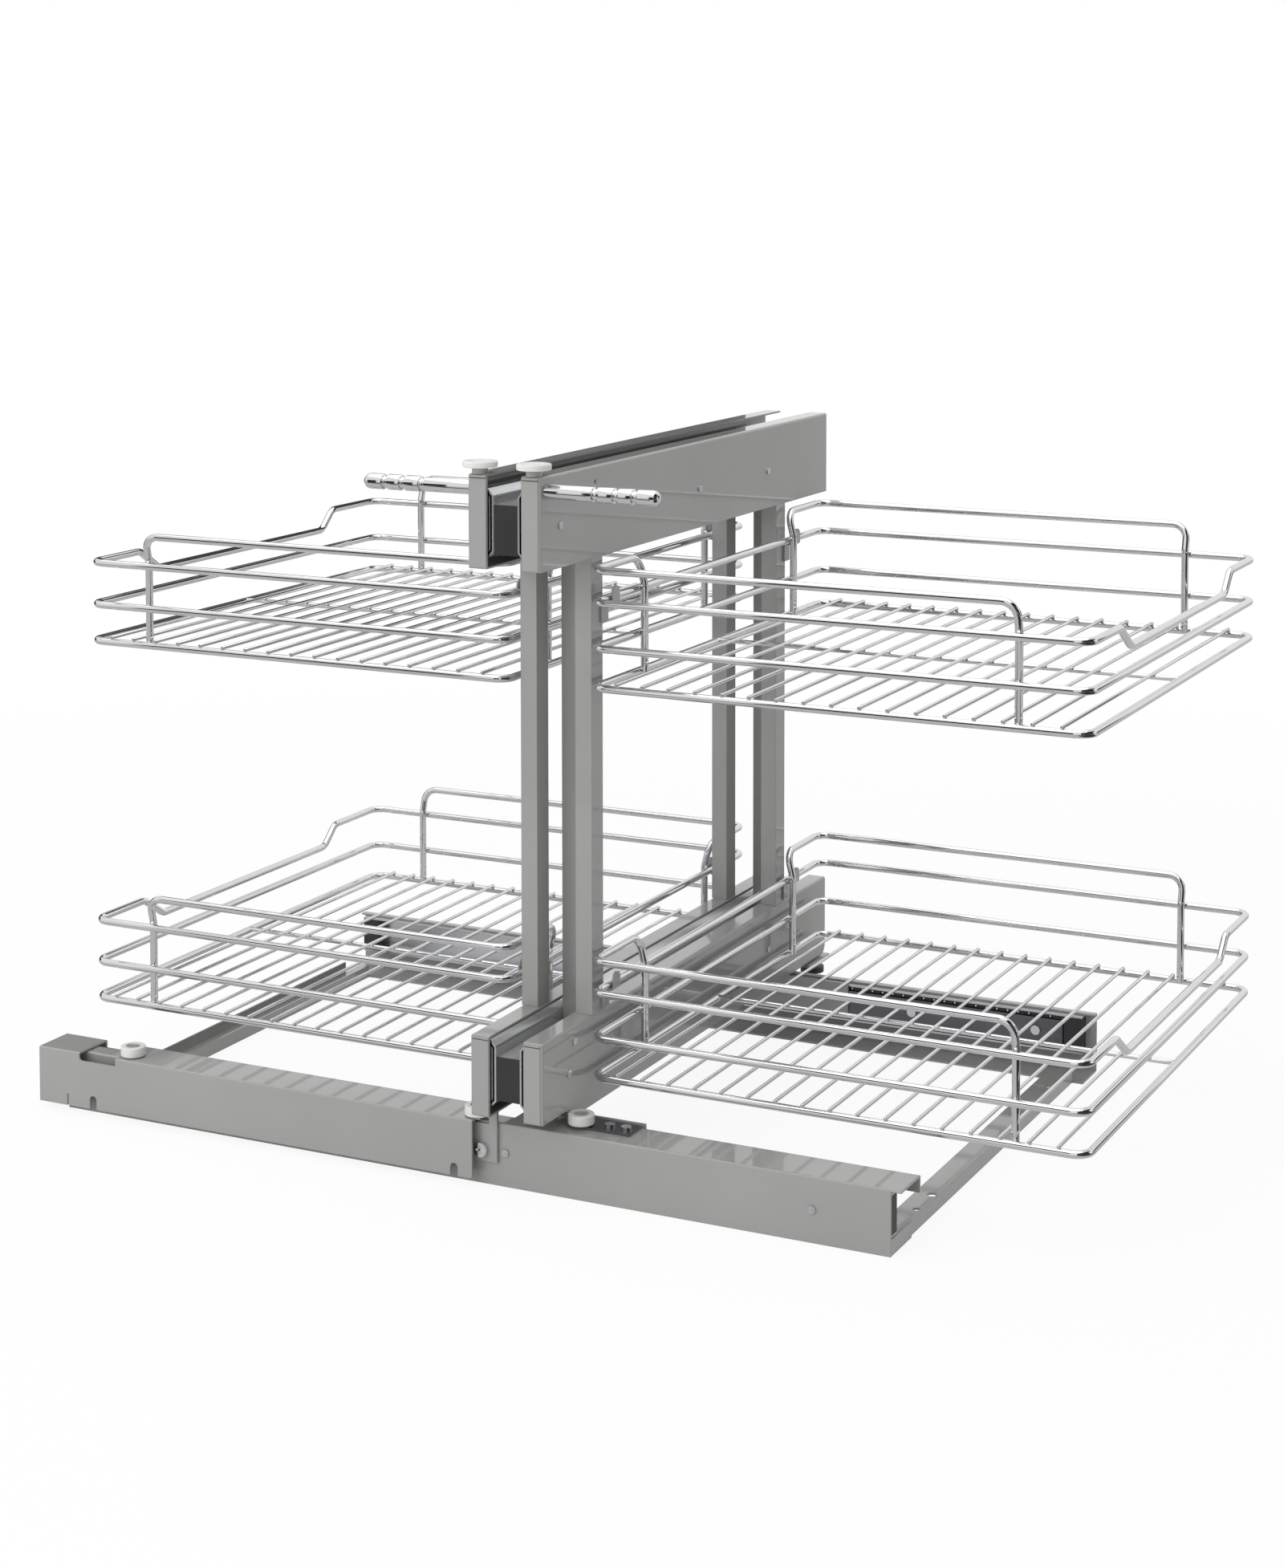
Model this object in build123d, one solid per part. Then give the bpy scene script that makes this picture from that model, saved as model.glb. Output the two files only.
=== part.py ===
from build123d import *
import math
import os

# Blind corner pull-out. Sizes in millimetres, X along the front beam, Y to the back, Z up.
# X = 0 is the middle of the carriage at its home end, Y = 0 the middle of the beam's face
# sheet, Z = 0 the cabinet floor. Pieces are drawn for the right side and mirrored for the left.

# Sheet metal and fits
sheet = 1.5
bend_radius = 2.0
fold_radius = 1.4
slip = 0.05
gap = 0.3

# Baskets, welded from wire
basket_width = 388.0
basket_depth = 433.0
wire = 6.0
floor_wire = 3.0
cross_wire = 4.0
weld = 0.6
corner_radius = 12.0
ring_heights = (0.0, 30.0)
top_ring = 64.5
hoop_rise = 24.5
drop = 17.0
drop_front = (66.0, 92.0)
drop_back = (90.0, 72.0)
hoop_front_leg = 77.0
hoop_back_leg = 70.0
hoop_front_short = 54.0
hoop_back_short = 56.0
floor_wires = 17
floor_margin = 20.2
cross_wire_y = 220.0

# Heights from the floor up to the frames
beam_height = 48.4
cover_lift = 0.6
cover_top = beam_height + cover_lift + sheet
roller_lift = 0.5
roller_thickness = 7.8
roller_z = (cover_top + roller_lift, cover_top + roller_lift + roller_thickness)
frame_clearance = 0.8
frame_floor = roller_z[1] + frame_clearance

# Telescopic slides that carry the frames
slide_front = -19.5
slide_overhang = 67.0
slide_length = basket_depth + slide_overhang
slide_back = slide_front + slide_length
slide_height = 53.0
slide_seat = 6.2
lower_slide_z = frame_floor + slide_seat
slide_spacing = 411.2
upper_slide_z = lower_slide_z + slide_spacing
race_gap = 1.2
outer_reach = 13.0
middle_web = 3.0
middle_reach = 15.0
inner_depth = 12.5

# Frames
frame_inner = 14.5
frame_width = 16.0
frame_outer = frame_inner + frame_width
frame_front = slide_front - sheet - 1.0
frame_overhang = 27.5
frame_back = slide_back + frame_overhang
bottom_beam_z = (frame_floor, lower_slide_z + slide_height + sheet + gap)
top_beam_below = 7.0
top_beam_above = 10.0
top_beam_z = (upper_slide_z - top_beam_below, upper_slide_z + slide_height + top_beam_above)
hang_clearance = 1.1
hang_bottom = cover_top + hang_clearance
hang_ramp = 12.0
tail_corner = 8.0
post_width = 14.0
post_depth = 18.0
front_post_inset = 79.0
rear_post_inset = 109.0
frame_posts_y = (frame_front + front_post_inset, frame_back - rear_post_inset)
rivet_radius = 3.0
rivet_shank = 1.6
rivet_head = 1.2
upper_rivet_z = slide_height / 2 - 1.7
lower_rivet_z = slide_height / 2 - 5.0
high_rivet_z = slide_height / 2 + 17.2
top_rivets_y = (frame_front + 29.5, slide_front + slide_length / 2 + 15.4, slide_back - 99.5)
bottom_rivets_y = (frame_front + 40.5, slide_back - 97.6)
high_rivet_y = frame_front + 49.6
pilot_hole = (frame_front + 85.5, top_beam_z[1] - 12.3)

# Where the baskets hang
basket_gap = 6.5
basket_inner = frame_outer + basket_gap
basket_overlap = 11.5
basket_front = frame_posts_y[0] - basket_overlap
lower_basket_rise = 17.9
upper_basket_drop = 95.5
basket_lower_z = frame_floor + lower_basket_rise
basket_upper_z = top_beam_z[0] - upper_basket_drop
hook_width = 11.0
hook_offset = post_depth - 4.0
hook_plate = 1.5
hook_rise = 9.0
hook_leg = 16.0

# Handle and disc roller on top of each frame
handle_y = frame_front + 7.8
handle_z = top_beam_z[1] - 11.0
handle_neck = 39.7
handle_grip = 52.9
handle_neck_radius = 5.6
handle_radius = 5.9
handle_dome = 5.0
handle_groove_radius = 4.2
handle_groove_width = 4.4
handle_grooves = (2.2, 19.0, 34.3)
handle_stud_radius = 2.5
disc_y = frame_front + 4.8
disc_radius = 13.0
disc_lift = 4.7
disc_thickness = 4.6
disc_stem_radius = 6.0
disc_bore_depth = 3.0

# Base footprint
base_left = -418.7
base_right = 297.2
beam_flange_depth = 36.25
beam_narrow_depth = 14.25
beam_step_x = -13.0
beam_overhang = 8.0
beam_lip_drop = 12.6
side_wall_length = 40.0
side_wall_height = 12.0
rail_width = 27.0
rail_wall_height = 11.0
rear_wall_inset = 33.5
rear_wall_back = slide_back - rear_wall_inset
rear_flange_depth = 37.0
rear_flange_front = rear_wall_back - rear_flange_depth
rear_height = cover_top
rear_lip_depth = 7.5
screw_hole_radius = 2.75
screw_rows_y = (32.6, 88.0, rear_flange_front - 22.0)
large_hole_y = 120.2
large_hole_radius = 3.75

# Cover over the left half of the beam
cover_overhang = 22.3
cover_left = base_left - cover_overhang
cover_right = -36.0
cover_front = -11.0
cover_back = 26.0
cover_bottom = 5.8
cover_lip = 6.4
notch_x = (cover_left + 41.0, cover_left + 76.5)
notch_drop = 6.3
slot_width = 6.6
slots = ((cover_left + 54.3, 16.7), (cover_right - 15.7, 15.5))
slit_x = (cover_left + 28.7, cover_left + 29.7)
slit_top = 15.3
cover_corner = 2.5

# Guide bracket on the beam face
bracket_x = (cover_right - 26.0, cover_right + 17.3)
bracket_z = (18.0, beam_height - 1.4)
bracket_horn_width = 7.0
bracket_horn_rise = 9.0
bracket_thickness = 2.5
bracket_screw = (cover_right + 4.1, 27.0)
bracket_screw_head = 5.5
bracket_screw_shank = 2.5

# Guide rollers standing on the base
carriage_travel = 358.0
roller_radius = 10.0
roller_y = 2.3
roller_left_x = 1.6 - carriage_travel
roller_middle_x = cover_right - 2.3
home_roller_y = 18.5
home_roller_gap = 0.7
home_roller_x = frame_outer + home_roller_gap + roller_radius
roller_pin_radius = 3.0
roller_head_radius = 5.0
roller_recess_radius = 5.8
roller_recess_depth = 2.8
rim_radius = 1.0
home_plate_length = 53.0
home_plate_y = (14.0, 35.0)
home_plate_thickness = 1.8
home_screws = ((home_roller_x + 20.8, 24.5), (home_roller_x + 34.8, 24.5))
small_screw_head = 4.0
small_screw_shank = 2.0

# Lateral slides in the front beam and on the rear rail
lateral_height = 32.0
lateral_left = base_left + 8.0
lateral_right = base_right - 0.7
lateral_front_z = rail_wall_height + sheet
lateral_rear_z = rear_height - sheet - lateral_height
lateral_depth = 12.0
end_cap_length = 16.0
cage_thickness = 3.2
cage_depth = 8.2
cage_offset = 2.3
cage_lead = 85.0
runner_left = lateral_left + end_cap_length + carriage_travel + 2.7
runner_face = 12.3
runner_half_height = 10.7
runner_reach = 4.0
beam_rivets_xz = ((cover_right + 23.1, 26.0), (base_right - 60.4, 24.4))
runner_screws_x = (lateral_right - 152.5, lateral_right - 40.5)

# Carriage
tube_half_width = 10.0
tube_cap = 2.5
tube_plug = 12.0
tube_front = slide_front + tube_cap
tube_back = slide_back - tube_cap
lower_tube_seat = 6.7
lower_tube_height = 32.5
lower_tube_z = (lower_slide_z + lower_tube_seat, lower_slide_z + lower_tube_seat + lower_tube_height)
upper_tube_seat = 3.5
upper_tube_height = 37.0
upper_tube_z = (upper_slide_z + upper_tube_seat, upper_slide_z + upper_tube_seat + upper_tube_height)
post_rows_y = (slide_front + 104.3, slide_back - 39.9)
carriage_post_depth = 20.0
foot_x = (-tube_half_width, 85.0)
foot_thickness = 2.0
foot_height = 23.0
foot_top = cover_top
front_riser_gap = 1.75
step_clearance = 7.8
neck_depth = 22.0
rear_foot_height = 28.5
tail_plate_x = (-tube_half_width, frame_outer + 3.5)
tail_plate_y = (slide_back - 15.5, slide_back + 29.5)
tail_roller_radius = 10.5
tail_roller_y = slide_back + 17.5
tail_roller_drop = 9.5
tail_roller_thickness = 5.0
tail_roller_top = foot_top - tail_roller_drop
tail_roller_z = (tail_roller_top - tail_roller_thickness, tail_roller_top)
tail_collar_radius = 6.0


def block(x, y, z):
    size = [high - low for low, high in (x, y, z)]
    middle = [(low + high) / 2 for low, high in (x, y, z)]
    return Pos(*middle) * Box(*size)


def rod(radius, start, end):
    run = Vector(*end) - Vector(*start)
    place = Plane(origin=start, z_dir=run)
    return place * Cylinder(radius, run.length, align=(Align.CENTER, Align.CENTER, Align.MIN))


# A box of sheet metal, left open on the named sides
def folded(x, y, z, open_sides, wall=sheet):
    inside = []
    for axis, (low, high) in zip("xyz", (x, y, z)):
        start = low - 1 if axis + "-" in open_sides else low + wall
        end = high + 1 if axis + "+" in open_sides else high - wall
        inside.append((start, end))
    return block(x, y, z) - block(*inside)


# Rounds the outer bends that run along one axis and sit at the given place on the other two
def rounded(shape, axis, places, radius=bend_radius):
    chosen = []
    for edge in shape.edges().filter_by(axis):
        middle = edge @ 0.5
        for place in places:
            near = [abs(a - b) < 0.01 for a, b in zip(middle, place) if b is not None]
            if all(near):
                chosen.append(edge)
    return fillet(chosen, radius)


def wire_along(points, diameter, closed=False):
    path = FilletPolyline(*points, radius=corner_radius, close=closed)
    section = Plane(origin=path @ 0, z_dir=path % 0) * Circle(diameter / 2)
    return sweep(section, path=path)


def left_of(shape):
    return mirror(shape, about=Plane.YZ)


def group(shapes):
    return Compound(children=[solid for shape in shapes for solid in shape.solids()])


# Fixed base

face_front = -sheet / 2
face_back = sheet / 2
lip_bottom = beam_height - beam_lip_drop
beam_flange_right = base_right + beam_overhang
rear_wall_front = rear_wall_back - sheet
rail_right_outer = base_right - sheet
rail_left_outer = base_left + 1.0
rail_columns_x = (rail_left_outer + rail_width / 2, rail_right_outer - rail_width / 2)
home_plate_top = beam_height + home_plate_thickness


def rivet_tool(x, z):
    return rod(rivet_shank + slip, (x, face_front - 1, z), (x, face_back + sheet + 1, z))


def roller_pin_hole(x, y):
    return rod(roller_pin_radius + slip, (x, y, 0), (x, y, cover_top + 1))


def front_beam():
    face = block((base_left, base_right), (face_front, face_back), (0, beam_height))
    top = (beam_height - sheet, beam_height)
    narrow = block((base_left, beam_step_x), (face_front, beam_narrow_depth), top)
    wide = block((beam_step_x, beam_flange_right), (face_front, beam_flange_depth), top)
    lip_y = (beam_flange_depth - sheet, beam_flange_depth)
    lip = block((beam_step_x, beam_flange_right), lip_y, (lip_bottom, beam_height))
    side = block((rail_right_outer, base_right), (face_front, side_wall_length), (0, side_wall_height))
    beam = face + narrow + wide + lip + side
    beam = rounded(beam, Axis.X, ((None, face_front, beam_height), (None, beam_flange_depth, beam_height)),
                   fold_radius)
    for x, z in beam_rivets_xz:
        beam -= rivet_tool(x, z)
    x, z = bracket_screw
    beam -= rod(bracket_screw_shank + slip, (x, face_front - 1, z), (x, face_back + 1, z))
    for x, y in home_screws:
        beam -= rod(small_screw_shank + slip, (x, y, lip_bottom), (x, y, beam_height + 1))
    beam -= rod(roller_pin_radius + slip, (home_roller_x, home_roller_y, lip_bottom),
                (home_roller_x, home_roller_y, beam_height + 1))
    for x in (roller_left_x, roller_middle_x):
        beam -= rod(roller_pin_radius + slip, (x, roller_y, lip_bottom), (x, roller_y, beam_height + 1))
    return beam


def beam_cover():
    span = (cover_left, cover_right)
    cover = folded(span, (cover_front, cover_back), (cover_bottom, cover_top), "x+ y+ z-")
    cover += block(span, (cover_back - sheet, cover_back), (cover_top - cover_lip, cover_top))
    cover -= block(notch_x, (cover_front - 1, cover_back + 1), (cover_top - notch_drop, cover_top + 1))
    for x, top in slots:
        half = slot_width / 2
        cover -= block((x - half, x + half), (cover_front - 1, cover_front + sheet + 1), (0, top - half))
        cover -= rod(half, (x, cover_front - 1, top - half), (x, cover_front + sheet + 1, top - half))
    cover -= block(slit_x, (cover_front - 1, cover_front + sheet + 1), (0, slit_top))
    for x in (roller_left_x, roller_middle_x):
        cover -= roller_pin_hole(x, roller_y)
    half = roller_pin_radius + slip
    cover -= block((roller_middle_x, cover_right + 1), (roller_y - half, roller_y + half),
                   (cover_top - sheet - 1, cover_top + 1))
    middle = cover_front + sheet / 2
    corners = ((slit_x[1], middle, cover_bottom), (cover_right, middle, cover_bottom),
               (notch_x[0], middle, cover_top - notch_drop))
    cover = rounded(cover, Axis.Y, corners, cover_corner)
    cover = rounded(cover, Axis.Z, ((cover_left, cover_front, None),))
    return rounded(cover, Axis.X, ((None, cover_front, cover_top), (None, cover_back, cover_top)),
                   fold_radius)


def floor_rail(outer, inner, centre, open_sides):
    low, high = min(outer, inner), max(outer, inner)
    rail = folded((low, high), (face_back, rear_flange_front), (0, rail_wall_height), open_sides)
    for y in screw_rows_y:
        rail -= rod(screw_hole_radius, (centre, y, -1), (centre, y, sheet + 1))
    return rail - rod(large_hole_radius, (centre, large_hole_y, -1), (centre, large_hole_y, sheet + 1))


def rear_rail():
    span = (base_left + 2, beam_flange_right)
    rail = block(span, (rear_flange_front, rear_wall_back), (0, sheet))
    rail += block(span, (rear_wall_front, rear_wall_back), (0, rear_height))
    rail += block(span, (rear_wall_back - rear_lip_depth, rear_wall_back), (rear_height - sheet, rear_height))
    return rounded(rail, Axis.X, ((None, rear_wall_back, rear_height), (None, rear_wall_back, 0)),
                   fold_radius)


# The lateral slides are drawn for the front beam and turned round for the rear rail
def lateral(low, high, near, far, half_low, half_high):
    front_z = lateral_front_z + lateral_height / 2
    front = block((low, high), (face_back + near, face_back + far), (front_z + half_low, front_z + half_high))
    rear_z = lateral_rear_z + lateral_height / 2
    rear = block((low, high), (rear_wall_front - far, rear_wall_front - near),
                 (rear_z + half_low, rear_z + half_high))
    return front, rear


def both(first, second):
    return [a + b for a, b in zip(first, second)]


def lateral_rails():
    half = lateral_height / 2
    web = lateral(lateral_left, lateral_right, 0, sheet, -half, half)
    low = lateral(lateral_left, lateral_right, 0, lateral_depth, -half, -half + sheet)
    high = lateral(lateral_left, lateral_right, 0, lateral_depth, half - sheet, half)
    front, rear = both(both(web, low), high)
    for x, z in beam_rivets_xz:
        front -= rivet_tool(x, z)
    return front, rear


def lateral_caps():
    reach = lateral_height / 2 - sheet
    left = lateral(lateral_left, lateral_left + end_cap_length, sheet, lateral_depth, -reach, reach)
    right = lateral(lateral_right - end_cap_length, lateral_right, sheet, lateral_depth, -reach, reach)
    return group(left + right)


def lateral_cages():
    outside = lateral_height / 2 - sheet - gap
    inside = outside - cage_thickness
    right = lateral_right - end_cap_length - 0.5
    far = cage_offset + cage_depth
    left = runner_left - cage_lead
    high = lateral(left, right, cage_offset, far, inside, outside)
    low = lateral(left, right, cage_offset, far, -outside, -inside)
    return group((high[0], low[0])), group((high[1], low[1]))


def lateral_runners():
    right = lateral_right - end_cap_length - 1
    half = runner_half_height
    web = lateral(runner_left, right, runner_face - sheet, runner_face, -half, half)
    low = lateral(runner_left, right, runner_reach, runner_face, -half, -half + sheet)
    high = lateral(runner_left, right, runner_reach, runner_face, half - sheet, half)
    front, rear = both(both(web, low), high)
    z = lateral_rear_z + lateral_height / 2
    for x in runner_screws_x:
        rear -= rod(small_screw_shank + slip, (x, rear_face - 1, z), (x, rear_face + sheet + 1, z))
    return front, rear


front_face = face_back + runner_face
rear_face = rear_wall_front - runner_face


def runner_screws():
    z = lateral_rear_z + lateral_height / 2
    screws = []
    for x in runner_screws_x:
        head = rod(small_screw_head, (x, rear_face - 2, z), (x, rear_face, z))
        screws.append(head + rod(small_screw_shank, (x, rear_face - 1, z), (x, rear_face + sheet, z)))
    return group(screws)


def beam_rivets():
    rivets = []
    for x, z in beam_rivets_xz:
        head = rod(rivet_radius, (x, face_front - rivet_head, z), (x, face_front, z))
        rivets.append(head + rod(rivet_shank, (x, face_front - 0.5, z), (x, face_back + sheet, z)))
    return group(rivets)


def guide_bracket():
    y = (face_front - bracket_thickness, face_front)
    plate = block(bracket_x, y, bracket_z)
    horn_x = (bracket_x[1] - bracket_horn_width, bracket_x[1])
    plate += block(horn_x, y, (bracket_z[0], beam_height + bracket_horn_rise))
    x, z = bracket_screw
    return plate - rod(bracket_screw_shank + slip, (x, y[0] - 1, z), (x, y[1] + 1, z))


def guide_bracket_screw():
    x, z = bracket_screw
    seat = face_front - bracket_thickness
    head = rod(bracket_screw_head, (x, seat - 3, z), (x, seat, z))
    screw = head + rod(bracket_screw_shank, (x, seat - 1, z), (x, face_back, z))
    screw -= block((x - 3.5, x + 3.5), (seat - 4, seat - 1.4), (z - 0.7, z + 0.7))
    return screw - block((x - 0.7, x + 0.7), (seat - 4, seat - 1.4), (z - 3.5, z + 3.5))


def home_roller_plate():
    x = (frame_outer, frame_outer + home_plate_length)
    plate = block(x, home_plate_y, (beam_height, home_plate_top))
    for screw_x, screw_y in home_screws:
        plate -= rod(small_screw_shank + slip, (screw_x, screw_y, 0), (screw_x, screw_y, home_plate_top + 1))
    return plate - rod(roller_pin_radius + slip, (home_roller_x, home_roller_y, 0),
                       (home_roller_x, home_roller_y, home_plate_top + 1))


def home_plate_screws():
    screws = []
    for x, y in home_screws:
        head = rod(small_screw_head, (x, y, home_plate_top), (x, y, home_plate_top + 2))
        screws.append(head + rod(small_screw_shank, (x, y, beam_height - sheet), (x, y, home_plate_top + 1)))
    return group(screws)


def guide_roller(x, y):
    low, high = roller_z
    wheel = rod(roller_radius, (x, y, low), (x, y, high))
    wheel = fillet(wheel.edges().filter_by(GeomType.CIRCLE), rim_radius)
    wheel -= rod(roller_pin_radius + slip, (x, y, low - 1), (x, y, high + 1))
    return wheel - rod(roller_recess_radius, (x, y, high - roller_recess_depth), (x, y, high + 1))


def roller_pin(x, y, bottom, collar_bottom, collar_top):
    low, high = roller_z
    recess_floor = high - roller_recess_depth
    pin = rod(roller_pin_radius, (x, y, bottom), (x, y, high - 0.6))
    pin += rod(roller_head_radius, (x, y, recess_floor + gap), (x, y, high - 0.6))
    return pin + rod(roller_head_radius, (x, y, collar_bottom), (x, y, collar_top))


def guide_roller_pins():
    seat = roller_z[0] - gap
    pins = [roller_pin(home_roller_x, home_roller_y, beam_height - sheet, home_plate_top, seat)]
    for x in (roller_left_x, roller_middle_x):
        pins.append(roller_pin(x, roller_y, beam_height - sheet, beam_height, cover_top - sheet))
    return group(pins)


# Carriage

tube_x = (-tube_half_width, tube_half_width)


def carriage_tube(z):
    return folded(tube_x, (tube_front, tube_back), z, "y- y+")


def carriage_posts():
    z = (lower_tube_z[1], upper_tube_z[0])
    return group([folded(tube_x, (y, y + carriage_post_depth), z, "z- z+") for y in post_rows_y])


def tube_end_caps():
    caps = []
    for low, high in (lower_tube_z, upper_tube_z):
        plug_x = (tube_x[0] + sheet, tube_x[1] - sheet)
        plug_z = (low + sheet, high - sheet)
        front = block(tube_x, (slide_front, tube_front), (low, high))
        caps.append(front + block(plug_x, (tube_front - 1, tube_front + tube_plug), plug_z))
        rear = block(tube_x, (tube_back, slide_back), (low, high))
        caps.append(rear + block(plug_x, (tube_back - tube_plug, tube_back + 1), plug_z))
    return group(caps)


def front_carriage_bracket():
    top = lower_tube_z[0]
    middle = lateral_front_z + lateral_height / 2
    riser_y = (beam_flange_depth + front_riser_gap, beam_flange_depth + front_riser_gap + foot_thickness)
    step = lip_bottom - step_clearance - foot_thickness
    foot_z = (middle - foot_height / 2, middle + foot_height / 2)
    bracket = block(foot_x, (front_face, front_face + foot_thickness), foot_z)
    bracket += block(foot_x, (front_face, riser_y[1]), (step, step + foot_thickness))
    bracket += block(foot_x, riser_y, (step, foot_top))
    bracket += block(tube_x, riser_y, (step, top))
    return bracket + block(tube_x, (riser_y[0], riser_y[0] + neck_depth), (top - foot_thickness, top))


def rear_carriage_bracket():
    top = lower_tube_z[0]
    plate_y = (rear_face - foot_thickness, rear_face)
    bracket = block(foot_x, plate_y, (foot_top - rear_foot_height, foot_top))
    bracket += block(tube_x, plate_y, (foot_top - rear_foot_height, top))
    return bracket + block(tube_x, (rear_face - neck_depth, rear_face), (top - foot_thickness, top))


def tail_plate():
    top = lower_tube_z[0]
    start = tail_plate_y[0]
    plate = block(tail_plate_x, tail_plate_y, (foot_top - foot_thickness, foot_top))
    plate += block(tube_x, (start, start + foot_thickness), (foot_top - foot_thickness, top))
    plate += block(tube_x, (start, tube_back), (top - foot_thickness, top))
    return plate - rod(roller_pin_radius + slip, (tail_roller_x, tail_roller_y, 0),
                       (tail_roller_x, tail_roller_y, foot_top + 1))


tail_roller_x = (frame_inner + frame_outer) / 2


def tail_roller():
    low, high = tail_roller_z
    x, y = tail_roller_x, tail_roller_y
    wheel = rod(tail_roller_radius, (x, y, low), (x, y, high))
    return wheel - rod(roller_pin_radius + slip, (x, y, low + sheet), (x, y, high + 1))


def tail_roller_pin():
    x, y = tail_roller_x, tail_roller_y
    pin = rod(roller_pin_radius, (x, y, tail_roller_z[0] + sheet + gap), (x, y, foot_top))
    return pin + rod(tail_collar_radius, (x, y, tail_roller_z[1] + gap), (x, y, foot_top - foot_thickness))


# Telescopic slides between the carriage tubes and the frames

slide_y = (slide_front, slide_back)


def slide_pair(near, far, inset, web_side):
    members = []
    for bottom in (lower_slide_z, upper_slide_z):
        z = (bottom + inset, bottom + slide_height - inset)
        open_side = "x+ y- y+" if web_side == "near" else "x- y- y+"
        x = (tube_half_width + near, tube_half_width + far)
        members.append(folded(x, slide_y, z, open_side))
    return members


middle_inset = sheet + race_gap
top_rivets_yz = [(y, upper_slide_z + upper_rivet_z) for y in top_rivets_y]
bottom_rivets_yz = [(y, lower_slide_z + lower_rivet_z) for y in bottom_rivets_y]
bottom_rivets_yz.append((high_rivet_y, lower_slide_z + high_rivet_z))
inner_inset = 2 * middle_inset
inner_far = frame_outer - sheet - tube_half_width


def web_holes(rivets):
    return [rod(rivet_shank + slip, (0, y, z), (frame_outer + 1, y, z)) for y, z in rivets]


def outer_slides():
    return group(slide_pair(0, outer_reach, 0, "near"))


def middle_slides():
    return group(slide_pair(middle_web, middle_reach, middle_inset, "near"))


def inner_slides():
    lower, upper = slide_pair(inner_far - inner_depth, inner_far, inner_inset, "far")
    for hole in web_holes(bottom_rivets_yz):
        lower -= hole
    for hole in web_holes(top_rivets_yz):
        upper -= hole
    return group((lower, upper))


# Frames

frame_x = (frame_inner, frame_outer)
frame_y = (frame_front, frame_back)


def tail_cut(bottom):
    y, z = frame_back - tail_corner, bottom + tail_corner
    corner = block((0, frame_outer + 1), (y, frame_back + 1), (bottom - 1, z))
    return corner - rod(tail_corner, (0, y, z), (frame_outer + 1, y, z))


def beam_bends(beam, z):
    beam = rounded(beam, Axis.Y, ((frame_outer, None, z[1]),))
    return rounded(beam, Axis.Z, ((frame_outer, frame_front, None),))


def top_beam():
    beam = beam_bends(folded(frame_x, frame_y, top_beam_z, "x- y+"), top_beam_z)
    for hole in web_holes(top_rivets_yz + [pilot_hole]):
        beam -= hole
    beam -= rod(handle_stud_radius + slip, (frame_inner, handle_y, handle_z),
                (frame_outer + 1, handle_y, handle_z))
    return beam - rod(roller_pin_radius + slip, (disc_x, disc_y, top_beam_z[0] + 2),
                      (disc_x, disc_y, disc_z[1]))


def plain_bottom_beam():
    beam = beam_bends(folded(frame_x, frame_y, bottom_beam_z, "x- y+"), bottom_beam_z)
    for hole in web_holes(bottom_rivets_yz):
        beam -= hole
    return beam - tail_cut(bottom_beam_z[0])


def yz_profile(points, x):
    face = make_face(Polyline(*[(0, y, z) for y, z in points], close=True))
    return Pos(x[0], 0, 0) * extrude(face, amount=x[1] - x[0], dir=(1, 0, 0))


# The right frame hangs lower behind the cover, down a short ramp
def hanging_bottom_beam():
    low, high = bottom_beam_z
    start, end = cover_back - hang_ramp, cover_back
    outline = [(frame_front, low), (start, low), (end, hang_bottom), (frame_back, hang_bottom),
               (frame_back, high), (frame_front, high)]
    shift = sheet * math.tan(math.atan2(low - hang_bottom, end - start) / 2)
    hollow = [(frame_front + sheet, low + sheet), (start + shift, low + sheet),
              (end + shift, hang_bottom + sheet), (frame_back + 1, hang_bottom + sheet),
              (frame_back + 1, high - sheet), (frame_front + sheet, high - sheet)]
    beam = yz_profile(outline, frame_x) - yz_profile(hollow, (frame_inner - 1, frame_outer - sheet))
    beam = beam_bends(beam, bottom_beam_z)
    for hole in web_holes(bottom_rivets_yz):
        beam -= hole
    return beam - tail_cut(hang_bottom)


def frame_post(y):
    x = (frame_outer - post_width, frame_outer)
    return folded(x, (y, y + post_depth), (bottom_beam_z[1], top_beam_z[0]), "z- z+")


def web_rivets():
    rivets = []
    for y, z in top_rivets_yz + bottom_rivets_yz:
        head = rod(rivet_radius, (frame_outer, y, z), (frame_outer + rivet_head, y, z))
        rivets.append(head + rod(rivet_shank, (frame_outer - 2 * sheet, y, z), (frame_outer + 0.5, y, z)))
    return group(rivets)


def handle():
    def along(radius, start, end):
        return rod(radius, (start, handle_y, handle_z), (end, handle_y, handle_z))

    neck_end = frame_outer + handle_neck
    grip = along(handle_radius, neck_end, neck_end + handle_grip)
    grip = fillet(grip.edges().filter_by(GeomType.CIRCLE).sort_by(Axis.X)[-1], handle_dome)
    for offset in handle_grooves:
        x = neck_end + offset
        half = handle_groove_width / 2
        ring = along(handle_radius + 1, x - half, x + half)
        grip -= ring - along(handle_groove_radius, x - half, x + half)
    neck = along(handle_neck_radius, frame_outer, neck_end + 1)
    return grip + neck + along(handle_stud_radius, frame_outer - sheet - 3, frame_outer + 1)


disc_x = (frame_inner + frame_outer) / 2
disc_z = (top_beam_z[1] + disc_lift, top_beam_z[1] + disc_lift + disc_thickness)


def disc_roller():
    low, high = disc_z
    wheel = rod(disc_radius, (disc_x, disc_y, low), (disc_x, disc_y, high))
    wheel = fillet(wheel.edges().filter_by(GeomType.CIRCLE), rim_radius)
    return wheel - rod(roller_pin_radius + slip, (disc_x, disc_y, low - 1),
                       (disc_x, disc_y, low + disc_bore_depth))


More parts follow.
